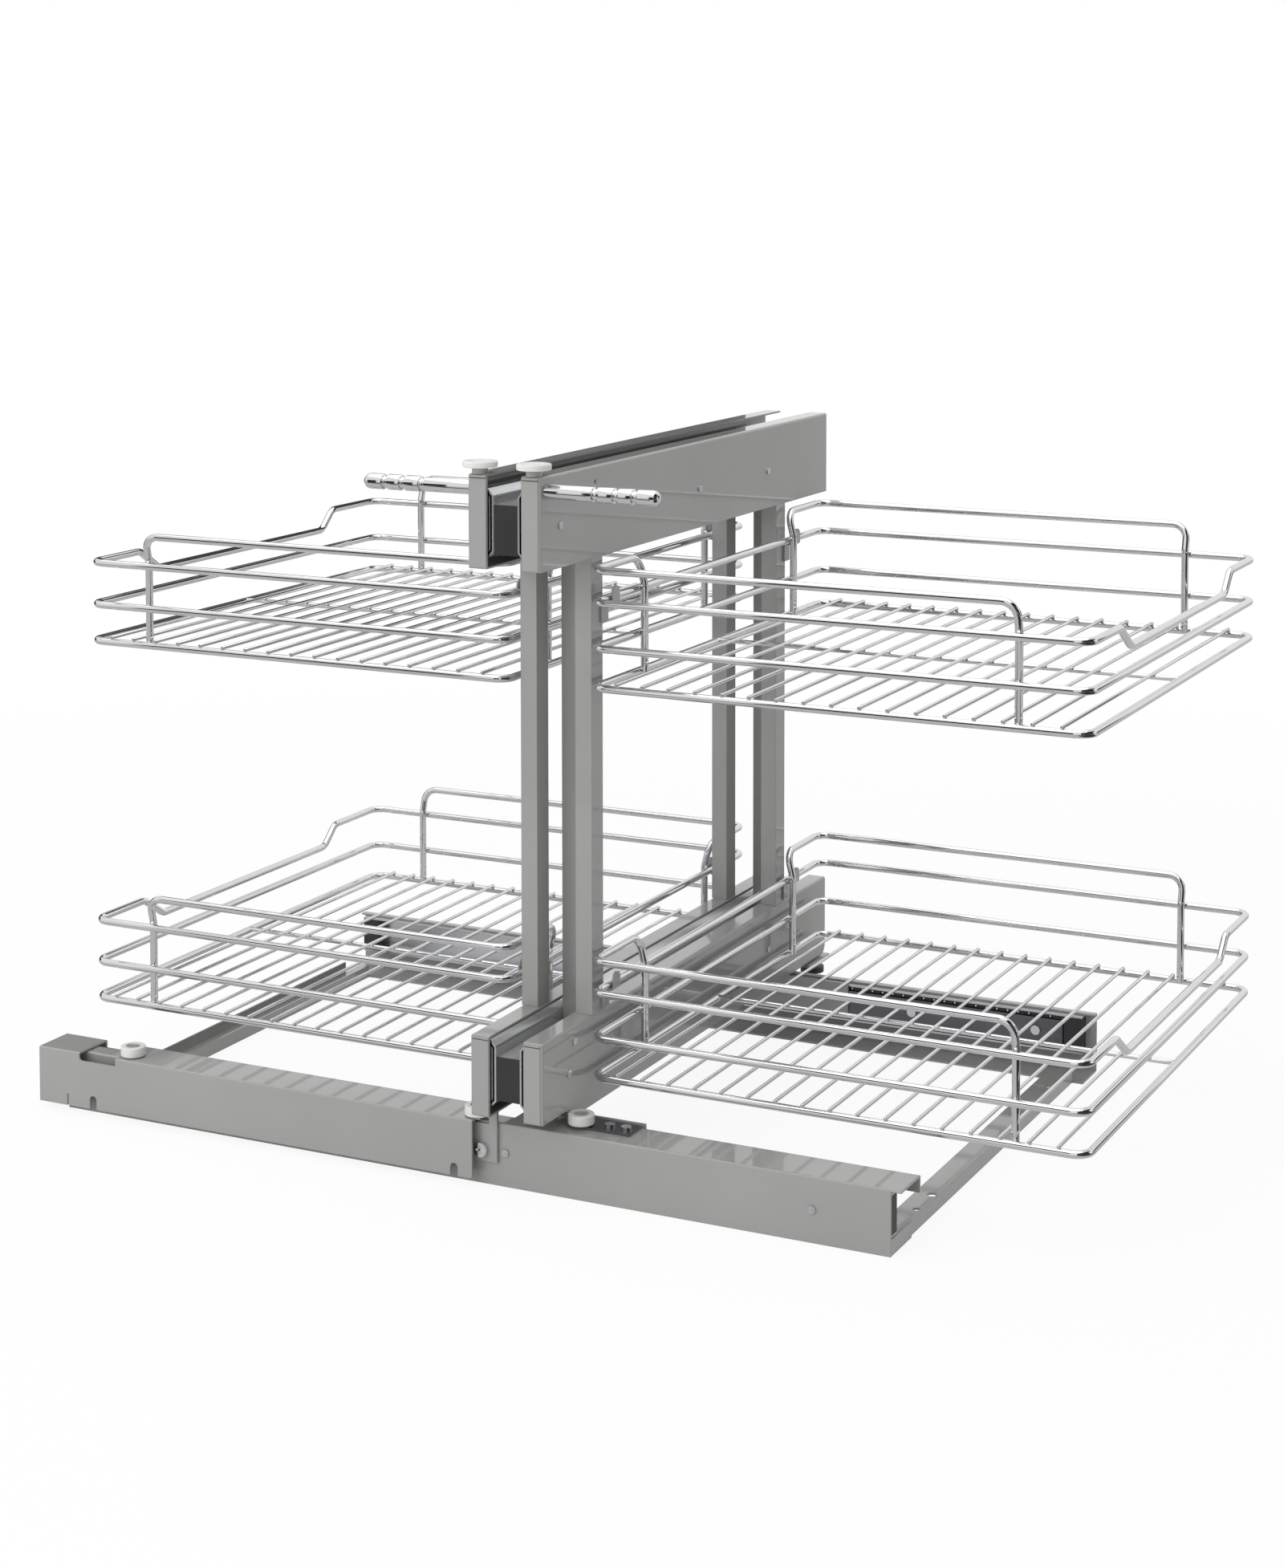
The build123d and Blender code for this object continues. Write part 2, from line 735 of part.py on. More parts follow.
def disc_stud():
    top = top_beam_z[1]
    stem = rod(disc_stem_radius, (disc_x, disc_y, top), (disc_x, disc_y, disc_z[0] - gap))
    pin_top = disc_z[0] + disc_bore_depth - gap
    return stem + rod(roller_pin_radius, (disc_x, disc_y, top - 2 * sheet), (disc_x, disc_y, pin_top))


# Baskets and the hooks they hang on

inner_x = basket_inner
outer_x = basket_inner + basket_width
front_y = basket_front
back_y = basket_front + basket_depth


def ring(height):
    corners = ((inner_x, front_y), (outer_x, front_y), (outer_x, back_y), (inner_x, back_y))
    return wire_along([(x, y, height) for x, y in corners], wire, closed=True)


def dipped_ring():
    low = top_ring - drop
    side = [(drop_front[0], top_ring), (drop_front[1], low),
            (basket_depth - drop_back[0], low), (basket_depth - drop_back[1], top_ring)]
    points = [(inner_x, front_y, top_ring), (outer_x, front_y, top_ring)]
    points += [(outer_x, front_y + run, height) for run, height in side]
    points += [(outer_x, back_y, top_ring), (inner_x, back_y, top_ring)]
    return wire_along(points, wire, closed=True)


# One corner hoop: up inside the rings, along the top and down again
def hoop(corner_y, leg, short, inward):
    inset = wire - weld
    lean = top_ring + wire / 2
    hoop_height = top_ring + hoop_rise
    end_x = outer_x - short
    side_y = corner_y + inward * leg
    inner_y = corner_y + inward * inset
    return wire_along([(inner_x + inset, side_y, 0), (inner_x + inset, side_y, lean),
                       (inner_x, side_y, hoop_height), (inner_x, corner_y, hoop_height),
                       (end_x, corner_y, hoop_height), (end_x, inner_y, lean), (end_x, inner_y, 0)], wire)


def basket():
    pieces = [ring(height) for height in ring_heights]
    pieces.append(dipped_ring())
    pieces.append(hoop(front_y, hoop_front_leg, hoop_front_short, 1))
    pieces.append(hoop(back_y, hoop_back_leg, hoop_back_short, -1))
    height = (wire + floor_wire) / 2 - weld
    pitch = (basket_width - 2 * floor_margin) / (floor_wires - 1)
    for index in range(floor_wires):
        x = inner_x + floor_margin + index * pitch
        pieces.append(rod(floor_wire / 2, (x, front_y, height), (x, back_y, height)))
    cross_z = height - (floor_wire + cross_wire) / 2 + weld
    cross_y = front_y + cross_wire_y
    pieces.append(rod(cross_wire / 2, (inner_x, cross_y, cross_z), (outer_x, cross_y, cross_z)))
    return pieces[0] + pieces[1:]


def basket_hooks():
    hooks = []
    tongue_x = basket_inner + wire / 2 + gap
    for floor in (basket_lower_z, basket_upper_z):
        arm_top = floor + top_ring - wire / 2 - gap
        for post_y in frame_posts_y:
            start = post_y + hook_offset
            y = (start, start + hook_width)
            hook = block((frame_outer, frame_outer + hook_plate), (post_y + 2, y[1]),
                         (arm_top - hook_leg, arm_top))
            hook += block((frame_outer, tongue_x + hook_plate), y, (arm_top - hook_plate, arm_top))
            hook += block((tongue_x, tongue_x + hook_plate), y,
                          (arm_top - hook_plate, floor + top_ring + hook_rise))
            hooks.append(hook)
    return group(hooks)


os.makedirs("parts", exist_ok=True)

parts = {
    "front_beam": front_beam(),
    "beam_cover": beam_cover(),
    "left_floor_rail": floor_rail(rail_left_outer, rail_left_outer + rail_width, rail_columns_x[0],
                                  "y- y+ z+"),
    "right_floor_rail": floor_rail(rail_right_outer, rail_right_outer - rail_width, rail_columns_x[1],
                                   "x- y- y+ z+"),
    "rear_rail": rear_rail(),
    "lateral_end_caps": lateral_caps(),
    "guide_bracket": guide_bracket(),
    "guide_bracket_screw": guide_bracket_screw(),
    "home_roller_plate": home_roller_plate(),
    "home_plate_screws": home_plate_screws(),
    "guide_roller_pins": guide_roller_pins(),
    "beam_rivets": beam_rivets(),
    "guide_roller_left": guide_roller(roller_left_x, roller_y),
    "guide_roller_middle": guide_roller(roller_middle_x, roller_y),
    "guide_roller_right": guide_roller(home_roller_x, home_roller_y),
    "runner_screws": runner_screws(),
    "carriage_lower_tube": carriage_tube(lower_tube_z),
    "carriage_upper_tube": carriage_tube(upper_tube_z),
    "carriage_posts": carriage_posts(),
    "tube_end_caps": tube_end_caps(),
    "front_carriage_bracket": front_carriage_bracket(),
    "rear_carriage_bracket": rear_carriage_bracket(),
    "tail_plate": tail_plate(),
    "tail_roller_pin": tail_roller_pin(),
    "tail_guide_roller": tail_roller(),
    "left_bottom_beam": left_of(plain_bottom_beam()),
    "right_bottom_beam": hanging_bottom_beam(),
}
parts["front_lateral_rail"], parts["rear_lateral_rail"] = lateral_rails()
parts["front_lateral_cage"], parts["rear_lateral_cage"] = lateral_cages()
parts["front_lateral_runner"], parts["rear_lateral_runner"] = lateral_runners()

one_basket = basket()
both_sides = {
    "outer_slides": outer_slides(),
    "middle_slides": middle_slides(),
    "inner_slides": inner_slides(),
    "top_beam": top_beam(),
    "front_post": frame_post(frame_posts_y[0]),
    "rear_post": frame_post(frame_posts_y[1]),
    "web_rivets": web_rivets(),
    "handle": handle(),
    "disc_roller": disc_roller(),
    "disc_stud": disc_stud(),
    "basket_hooks": basket_hooks(),
    "upper_basket": Pos(0, 0, basket_upper_z) * one_basket,
    "lower_basket": Pos(0, 0, basket_lower_z) * one_basket,
}
for name, shape in both_sides.items():
    parts["right_" + name] = shape
    parts["left_" + name] = left_of(shape)

for name, shape in parts.items():
    export_step(shape, "parts/" + name + ".step")
    print(name, len(shape.solids()), round(shape.volume))
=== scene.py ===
import math
import bmesh
import bpy
from mathutils import Matrix, Vector


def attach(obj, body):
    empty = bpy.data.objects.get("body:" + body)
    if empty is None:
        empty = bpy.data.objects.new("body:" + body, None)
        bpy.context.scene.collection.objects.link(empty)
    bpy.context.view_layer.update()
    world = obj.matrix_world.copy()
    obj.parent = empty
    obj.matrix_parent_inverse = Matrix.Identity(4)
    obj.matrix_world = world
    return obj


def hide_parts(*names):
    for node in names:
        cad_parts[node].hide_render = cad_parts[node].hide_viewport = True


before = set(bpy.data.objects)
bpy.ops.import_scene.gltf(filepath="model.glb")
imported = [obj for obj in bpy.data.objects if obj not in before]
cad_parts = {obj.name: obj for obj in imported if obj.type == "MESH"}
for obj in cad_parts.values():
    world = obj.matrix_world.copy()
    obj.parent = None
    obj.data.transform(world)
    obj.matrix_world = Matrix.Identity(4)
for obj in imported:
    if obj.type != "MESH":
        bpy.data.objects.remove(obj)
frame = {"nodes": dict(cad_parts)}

print("blind corner pull-out: frame loaded")
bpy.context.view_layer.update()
nodes = frame["nodes"]


# Small helpers for modelling, all sizes in millimetres until they reach Blender

def metres(*values):
    return tuple(value / 1000 for value in values)


def nothingSelected():
    if bpy.context.mode != "OBJECT":
        bpy.ops.object.mode_set(mode="OBJECT")
    bpy.ops.object.select_all(action="DESELECT")


def editing(piece, select=None, kind="verts"):
    # opens the piece and selects what the test says, by place or normal
    bpy.context.view_layer.objects.active = piece
    piece.select_set(True)
    if bpy.context.mode != "EDIT_MESH":
        bpy.ops.object.mode_set(mode="EDIT")
    modes = {"verts": (True, False, False), "edges": (False, True, False), "faces": (False, False, True)}
    bpy.context.tool_settings.mesh_select_mode = modes[kind]
    shape = bmesh.from_edit_mesh(piece.data)
    bpy.ops.mesh.select_all(action="DESELECT")
    for element in getattr(shape, kind):
        element.select_set(select is None or select(element))
    shape.select_flush_mode()
    bmesh.update_edit_mesh(piece.data)


def finished(piece, smoothAngle=35):
    # back to object mode, place applied into the mesh, soft shading
    if bpy.context.mode != "OBJECT":
        bpy.ops.object.mode_set(mode="OBJECT")
    nothingSelected()
    piece.select_set(True)
    bpy.context.view_layer.objects.active = piece
    bpy.ops.object.transform_apply(location=True, rotation=True, scale=True)
    bpy.ops.object.shade_smooth_by_angle(angle=math.radians(smoothAngle))
    return piece


def copied(piece, name, move=(0, 0, 0), mirrorX=False):
    # a copy with its own mesh, moved or mirrored to the other side
    twin = piece.copy()
    twin.data = piece.data.copy()
    twin.name = name
    bpy.context.scene.collection.objects.link(twin)
    twin.data.transform(Matrix.Translation(metres(*move)))
    if mirrorX:
        twin.data.transform(Matrix.Diagonal((-1, 1, 1, 1)))
        twin.data.flip_normals()
    return twin


def joined(name, pieces):
    nothingSelected()
    for piece in pieces:
        piece.select_set(True)
    bpy.context.view_layer.objects.active = pieces[0]
    bpy.ops.object.join()
    whole = bpy.context.object
    whole.name = name
    return whole


def dressed(piece, finish, slot, body, *replaced):
    piece.data.materials.clear()
    piece.data.materials.append(finish)
    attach(piece, body)
    if replaced:
        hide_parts(*replaced)
    return piece


def path(name, points, closed=False):
    # one vertex extruded from point to point, left open in edit mode
    nothingSelected()
    bpy.ops.mesh.primitive_plane_add(size=0.002, location=metres(*points[0]))
    piece = bpy.context.object
    piece.name = name
    editing(piece)
    bpy.ops.mesh.merge(type="CENTER")
    stops = points + points[:1] if closed else points
    for before, after in zip(stops, stops[1:]):
        step = metres(*[b - a for a, b in zip(before, after)])
        bpy.ops.mesh.extrude_region_move(TRANSFORM_OT_translate={"value": step})
    bpy.ops.mesh.select_all(action="SELECT")
    bpy.ops.mesh.remove_doubles(threshold=0.00001)
    return piece


def roundCorners(piece, radius, segments=8):
    # each corner gets the same bend radius, whatever its angle
    editing(piece)
    shape = bmesh.from_edit_mesh(piece.data)
    places = {}
    for vert in shape.verts:
        if len(vert.link_edges) == 2:
            a, b = [(edge.other_vert(vert).co - vert.co).normalized() for edge in vert.link_edges]
            turn = math.pi - a.angle(b)
            if turn > 0.02:
                offset = round(radius / 1000 * math.tan(turn / 2), 6)
                places.setdefault(offset, []).append(vert.co.copy())
    for offset, corners in places.items():
        editing(piece, lambda vert: any((vert.co - corner).length < 1e-6 for corner in corners))
        bpy.ops.mesh.bevel(offset=offset, segments=segments, affect="VERTICES", clamp_overlap=False)
    return piece


def wire(name, points, diameter, bend=12, closed=False, sides=12):
    piece = roundCorners(path(name, points, closed), bend)
    bpy.ops.object.mode_set(mode="OBJECT")
    nothingSelected()
    piece.select_set(True)
    bpy.context.view_layer.objects.active = piece
    bpy.ops.object.convert(target="CURVE")
    piece = bpy.context.object
    piece.data.bevel_depth = diameter / 2000
    piece.data.bevel_resolution = (sides - 4) // 2
    piece.data.use_fill_caps = True
    bpy.ops.object.convert(target="MESH")
    return finished(bpy.context.object, 50)


def straightWire(name, start, end, diameter, sides=10):
    # a cut length with its rims broken
    nothingSelected()
    run = Vector(end) - Vector(start)
    middle = (Vector(start) + Vector(end)) / 2
    turn = run.to_track_quat("Z", "Y").to_euler()
    bpy.ops.mesh.primitive_cylinder_add(vertices=sides, radius=diameter / 2000, depth=run.length / 1000,
                                        location=metres(*middle), rotation=turn)
    piece = bpy.context.object
    piece.name = name
    half = run.length / 2000 - 1e-5
    editing(piece, lambda edge: all(abs(vert.co.z) > half for vert in edge.verts), "edges")
    bpy.ops.mesh.bevel(offset=diameter / 6000, segments=2, affect="EDGES")
    return finished(piece, 50)


def lathe(name, points, axis, bends=0.6, steps=32):
    # a profile that starts and ends on the axis, spun once round it
    piece = roundCorners(path(name, points), bends, 3)
    bpy.ops.mesh.select_all(action="SELECT")
    bpy.ops.mesh.spin(steps=steps, angle=2 * math.pi, center=metres(*points[0]), axis=axis)
    bpy.ops.mesh.select_all(action="SELECT")
    bpy.ops.mesh.remove_doubles(threshold=0.000005)
    bpy.ops.mesh.normals_make_consistent(inside=False)
    return finished(piece, 40)


def withThickness(piece, thickness, offset=0):
    bpy.ops.object.mode_set(mode="OBJECT")
    modifier = piece.modifiers.new("thickness", "SOLIDIFY")
    modifier.thickness = thickness / 1000
    modifier.offset = offset
    modifier.use_even_offset = True
    bpy.ops.object.modifier_apply(modifier="thickness")
    return piece


def bentSheet(name, points, run, thickness, bend):
    # a section bent from strip and drawn out along Y
    piece = roundCorners(path(name, points), bend, 5)
    bpy.ops.mesh.select_all(action="SELECT")
    bpy.ops.mesh.extrude_region_move(TRANSFORM_OT_translate={"value": metres(0, run, 0)})
    bpy.ops.mesh.select_all(action="SELECT")
    bpy.ops.mesh.normals_make_consistent(inside=False)
    return finished(withThickness(piece, thickness), 30)


def plate(name, outline, thick, bend):
    # a flat outline with rounded corners, drawn out by its thickness
    piece = roundCorners(path(name, outline, closed=True), bend, 5)
    bpy.ops.mesh.select_all(action="SELECT")
    bpy.ops.mesh.edge_face_add()
    bpy.ops.mesh.select_all(action="SELECT")
    bpy.ops.mesh.extrude_region_move(TRANSFORM_OT_translate={"value": metres(*thick)})
    bpy.ops.mesh.select_all(action="SELECT")
    bpy.ops.mesh.normals_make_consistent(inside=False)
    return finished(piece, 30)


# Shader maths: a socket with ordinary operators on it

class Value:
    def __init__(self, finish, socket):
        self.finish = finish
        self.socket = socket

    def maths(self, operation, first, second):
        return self.finish.add("ShaderNodeMath", {"operation": operation}, {0: first, 1: second})

    def __add__(self, other):
        return self.maths("ADD", self, other)

    def __rsub__(self, other):
        return self.maths("SUBTRACT", other, self)

    def __mul__(self, other):
        return self.maths("MULTIPLY", self, other)


class Nodes:
    def __init__(self, owner):
        owner.use_nodes = True
        self.tree = owner.node_tree

    def add(self, kind, settings={}, sockets={}, output=0):
        # one node: its settings first, then its sockets
        node = self.tree.nodes.new(kind)
        for key, value in settings.items():
            if key == "stops":
                for stop, (position, shade) in zip(node.color_ramp.elements, value):
                    stop.position = position
                    stop.color = (shade, shade, shade, 1)
            else:
                setattr(node, key, value)
        for key, value in sockets.items():
            if isinstance(value, Value):
                self.tree.links.new(value.socket, node.inputs[key])
            else:
                node.inputs[key].default_value = value
        return Value(self, node.outputs[output]) if node.outputs else None


class Finish(Nodes):
    def __init__(self, name, **constants):
        self.material = bpy.data.materials.new(name)
        super().__init__(self.material)
        self.shader = self.tree.nodes["Principled BSDF"]
        for socket, value in constants.items():
            self.shader.inputs[socket.replace("_", " ")].default_value = value
        self.place = self.add("ShaderNodeTexCoord", output="Object")

    def feed(self, socket, value):
        self.tree.links.new(value.socket, self.shader.inputs[socket])

    def noise(self, scale, detail=2.0, stretch=(1, 1, 1)):
        turned = self.add("ShaderNodeMapping", {}, {"Vector": self.place, "Scale": stretch})
        return self.add("ShaderNodeTexNoise", {}, {"Vector": turned, "Scale": scale, "Detail": detail})

    def ramp(self, value, low, high):
        return self.add("ShaderNodeValToRGB", {"stops": ((low, 0.0), (high, 1.0))}, {"Fac": value})

    def mix(self, factor, first, second):
        # both colours are written without their alpha; sockets 6 and 7 take them, output 2 is the colour
        colours = {0: factor, 6: first + (1,), 7: second + (1,)}
        return self.add("ShaderNodeMix", {"data_type": "RGBA"}, colours, 2)

    def bump(self, height, strength, distance, edge=0.0):
        sockets = {"Height": height, "Strength": strength, "Distance": distance}
        if edge:
            sockets["Normal"] = self.add("ShaderNodeBevel", {"samples": 4}, {"Radius": edge})
        raised = self.add("ShaderNodeBump", {}, sockets)
        self.feed("Normal", raised)


# Powder coat on the sheet metal: fine orange peel, slight cloudiness
greyLook = {"light": (0.345, 0.343, 0.334), "dark": (0.315, 0.314, 0.307), "gloss": 0.34, "coatGloss": 0.045,
            "cloud": 9, "grain": 2600, "patch": 60, "peel": 900, "edge": 0.0009}


def makeGreyPaint():
    finish = Finish("greyPaint", Coat_Weight=1.0, Coat_Roughness=greyLook["coatGloss"], IOR=1.45)
    cloud = finish.noise(greyLook["cloud"], 3)
    grain = finish.noise(greyLook["grain"], 2)
    finish.feed("Base Color", finish.mix(finish.ramp(cloud * 0.6 + grain * 0.4, 0.35, 0.65),
                                         greyLook["dark"], greyLook["light"]))
    finish.feed("Roughness", finish.noise(greyLook["patch"], 3) * 0.1 + (greyLook["gloss"] - 0.05))
    finish.bump(finish.noise(greyLook["peel"], 2), 0.05, 0.0004, greyLook["edge"])
    return finish.material


# Plated steel, drawn along its length: bright zinc on the slides, darker on the runners, bright on the screws
zincLook = {"light": (0.74, 0.75, 0.76), "dark": (0.55, 0.56, 0.58)}
darkZincLook = {"light": (0.20, 0.20, 0.22), "dark": (0.13, 0.13, 0.145)}
steelLook = {"light": (0.82, 0.82, 0.83), "dark": (0.68, 0.68, 0.70)}
platedGrain = {"drawn": 260, "cloud": 26}


def makeZinc(name, look, stretch, rough):
    finish = Finish(name, Metallic=1.0)
    drawn = finish.noise(platedGrain["drawn"], 4, stretch)
    cloud = finish.noise(platedGrain["cloud"], 3)
    finish.feed("Base Color", finish.mix(finish.ramp(drawn * 0.55 + cloud * 0.45, 0.3, 0.7),
                                         look["dark"], look["light"]))
    finish.feed("Roughness", drawn * 0.16 + rough)
    finish.bump(drawn, 0.08, 0.0003)
    return finish.material


# Chrome on the wires, the handles and the bracket's screw
chromeLook = {"light": (0.80, 0.80, 0.81), "dark": (0.72, 0.72, 0.74), "rough": 0.03,
              "cloud": 45, "patch": 120, "grain": 300}


def makeChrome():
    finish = Finish("chromePlate", Metallic=1.0)
    cloud = finish.noise(chromeLook["cloud"], 3)
    finish.feed("Base Color", finish.mix(cloud, chromeLook["dark"], chromeLook["light"]))
    finish.feed("Roughness", finish.noise(chromeLook["patch"], 3) * 0.08 + chromeLook["rough"])
    finish.bump(finish.noise(chromeLook["grain"], 2), 0.03, 0.0003)
    return finish.material


# Moulded black plastic of the end caps and cages, also used for the black strip that paints the shade in the
# tabs' seams
blackLook = {"light": (0.035, 0.035, 0.037), "dark": (0.018, 0.018, 0.020), "rough": 0.38,
             "cloud": 40, "grain": 1800}


def makeBlackPlastic():
    finish = Finish("blackPlasticAndSeamShade")
    grain = finish.noise(blackLook["grain"], 3)
    cloud = finish.noise(blackLook["cloud"], 2)
    finish.feed("Base Color", finish.mix(cloud, blackLook["dark"], blackLook["light"]))
    finish.feed("Roughness", grain * 0.15 + blackLook["rough"])
    finish.bump(grain, 0.12, 0.0003)
    return finish.material


# Off-white nylon of the guide rollers
nylonLook = {"light": (0.79, 0.79, 0.76), "dark": (0.69, 0.69, 0.66), "rough": 0.36,
             "cloud": 160, "patch": 900, "grain": 1200}


def makeNylon():
    finish = Finish("whiteNylon")
    cloud = finish.noise(nylonLook["cloud"], 3)
    finish.feed("Base Color", finish.mix(cloud, nylonLook["dark"], nylonLook["light"]))
    finish.feed("Roughness", finish.noise(nylonLook["patch"], 2) * 0.12 + nylonLook["rough"])
    finish.bump(finish.noise(nylonLook["grain"], 2), 0.05, 0.0003)
    return finish.material


greyPaint = makeGreyPaint()
zincPlate = makeZinc("zincPlate", zincLook, (1, 0.02, 1), 0.17)
lateralZinc = makeZinc("lateralZinc", zincLook, (0.02, 1, 1), 0.2)
darkZinc = makeZinc("darkZinc", darkZincLook, (0.05, 1, 1), 0.26)
brightSteel = makeZinc("brightSteel", steelLook, (1, 1, 1), 0.06)
chromePlate = makeChrome()
blackPlasticAndSeamShade = makeBlackPlastic()
whiteNylon = makeNylon()
print("finishes made")


# Every carried-over node takes one of them, by the first words that fit its name
nodeFinishes = (
    ("hooks", greyPaint), ("disc_stud", greyPaint), ("web_rivets", zincPlate), ("beam_rivets", zincPlate),
    ("bracket_screw", chromePlate),
    ("pin", brightSteel), ("screw", brightSteel),
    ("end_caps", blackPlasticAndSeamShade), ("lateral_cage", blackPlasticAndSeamShade), ("tail_guide_roller", blackPlasticAndSeamShade),
    ("guide_roller", whiteNylon), ("disc_roller", whiteNylon),
    ("slides", zincPlate), ("lateral_rail", lateralZinc), ("lateral_runner", darkZinc),
    ("home_roller_plate", darkZinc), ("handle", chromePlate), ("basket", chromePlate),
)
for name, node in nodes.items():
    chosen = greyPaint
    for words, finish in nodeFinishes:
        if words in name:
            chosen = finish
            break
    for material in node.material_slots:
        material.material = chosen
    if not node.material_slots:
        node.data.materials.append(chosen)
print("carried-over nodes dressed")


# Welded wire baskets
basketSize = {
    "inner": 37, "width": 388, "front": 45.5, "depth": 433, "lowerFloor": 77.5, "upperFloor": 374.5,
    "wire": 6, "floorWire": 3, "crossWire": 4, "bend": 12, "weld": 0.6, "rings": (0, 30), "topRing": 64.5,
    "hoopTop": 89, "dip": 17, "dipFront": (66, 92), "dipBack": (343, 361), "frontLeg": 77, "backLeg": 70,
    "frontShort": 54, "backShort": 56, "floorWires": 17, "floorMargin": 20.2, "crossY": 220, "tip": 1.4,
}


def makeBasket(name, floor):
    b = basketSize
    left, right = b["inner"], b["inner"] + b["width"]
    front, back = b["front"], b["front"] + b["depth"]
    pieces = []
    for rise in b["rings"]:
        z = floor + rise
        corners = [(left, front, z), (right, front, z), (right, back, z), (left, back, z)]
        pieces.append(wire("ring", corners, b["wire"], b["bend"], closed=True))
    top, low = floor + b["topRing"], floor + b["topRing"] - b["dip"]
    dip = [(b["dipFront"][0], top), (b["dipFront"][1], low), (b["dipBack"][0], low), (b["dipBack"][1], top)]
    corners = [(left, front, top), (right, front, top)]
    corners += [(right, front + run, z) for run, z in dip]
    corners += [(right, back, top), (left, back, top)]
    pieces.append(wire("topRing", corners, b["wire"], b["bend"], closed=True))
    inset = b["wire"] - b["weld"]
    lean, crest = top + b["wire"] / 2, floor + b["hoopTop"]
    for cornerY, leg, short, inward in ((front, b["frontLeg"], b["frontShort"], 1),
                                        (back, b["backLeg"], b["backShort"], -1)):
        side, end, inside = cornerY + inward * leg, right - short, cornerY + inward * inset
        points = [(left + inset, side, floor), (left + inset, side, lean), (left, side, crest),
                  (left, cornerY, crest), (end, cornerY, crest), (end, inside, lean), (end, inside, floor)]
        pieces.append(wire("hoop", points, b["wire"], b["bend"]))
    z = floor + (b["wire"] + b["floorWire"]) / 2 - b["weld"]
    pitch = (b["width"] - 2 * b["floorMargin"]) / (b["floorWires"] - 1)
    first = straightWire("floorWire", (left + b["floorMargin"], front - b["tip"], z),
                         (left + b["floorMargin"], back + b["tip"], z), b["floorWire"])
    pieces.append(first)
    for index in range(1, b["floorWires"]):
        pieces.append(copied(first, "floorWire", (index * pitch, 0, 0)))
    crossZ = z - (b["floorWire"] + b["crossWire"]) / 2 + b["weld"]
    crossY = front + b["crossY"]
    pieces.append(straightWire("crossWire", (left, crossY, crossZ), (right, crossY, crossZ), b["crossWire"]))
    return joined(name, pieces)


rise = basketSize["upperFloor"] - basketSize["lowerFloor"]
lowerRight = makeBasket("rightLowerBasket", basketSize["lowerFloor"])
upperRight = copied(lowerRight, "rightUpperBasket", (0, 0, rise))
lowerLeft = copied(lowerRight, "leftLowerBasket", mirrorX=True)
upperLeft = copied(upperRight, "leftUpperBasket", mirrorX=True)
for piece, side, level in ((lowerRight, "right", "lower"), (upperRight, "right", "upper"),
                           (lowerLeft, "left", "lower"), (upperLeft, "left", "upper")):
    dressed(piece, chromePlate, "chrome_wire", side + "_frame", side + "_" + level + "_basket")
print("baskets made")


# Telescopic slides: three bent sections at each height of a side, with black stops at their front ends
slideSize = {"front": -19.5, "length": 500, "height": 53, "floors": (65.8, 477.0), "sheet": 1.5,
             "outerWeb": 10, "outerReach": 23, "middleWeb": 13, "middleReach": 25, "middleInset": 2.7,
             "innerWeb": 29, "innerReach": 16.5, "innerInset": 5.4, "corner": 5.2, "innerCorner": 2.0,
             "middleCorner": 0.7, "bend": 2.0}
stopSize = {"endGap": 4.2, "webGap": 0.4, "past": 4.5, "middle": 9, "depth": 16, "rim": 1.2, "sunk": 2.4,
            "edge": 0.9}


def slideSection(name, web, reach, inset, corner, floor):
    # an open channel whose corners are cut off before the bends
    g = slideSize
    half = g["sheet"] / 2
    low, high = floor + inset + half, floor + g["height"] - inset - half
    out = 1 if reach > web else -1
    webX, endX = web + out * half, reach - out * half
    cutX = webX + out * corner
    section = [(endX, low), (cutX, low), (webX, low + corner),
               (webX, high - corner), (cutX, high), (endX, high)]
    points = [(x, g["front"], z) for x, z in section]
    return bentSheet(name, points, g["length"], g["sheet"], g["bend"])


def slideStop(name, floor):
    # moulded stop between the middle and the inner section, with a stepped face
    g, s = slideSize, stopSize
    low = floor + g["middleInset"] + s["endGap"]
    high = floor + g["height"] - g["middleInset"] - s["endGap"]
    left, right = g["middleWeb"] + g["sheet"] + s["webGap"], g["innerReach"] + s["past"]
    middle = metres((left + right) / 2, g["front"] + s["middle"], (low + high) / 2)
    nothingSelected()
    spread = metres(right - left, s["depth"], high - low)
    bpy.ops.mesh.primitive_cube_add(size=1, location=middle, scale=spread)
    piece = bpy.context.object
    piece.name = name
    editing(piece, lambda face: face.normal.y < -0.5, "faces")
    bpy.ops.mesh.inset(thickness=s["rim"] / 1000)
    bpy.ops.transform.translate(value=metres(0, s["sunk"], 0))
    editing(piece, lambda edge: abs(edge.verts[0].co.y - edge.verts[1].co.y) > 0.3, "edges")
    bpy.ops.mesh.bevel(offset=s["edge"] / 1000, segments=2, affect="EDGES")
    return finished(piece, 30)


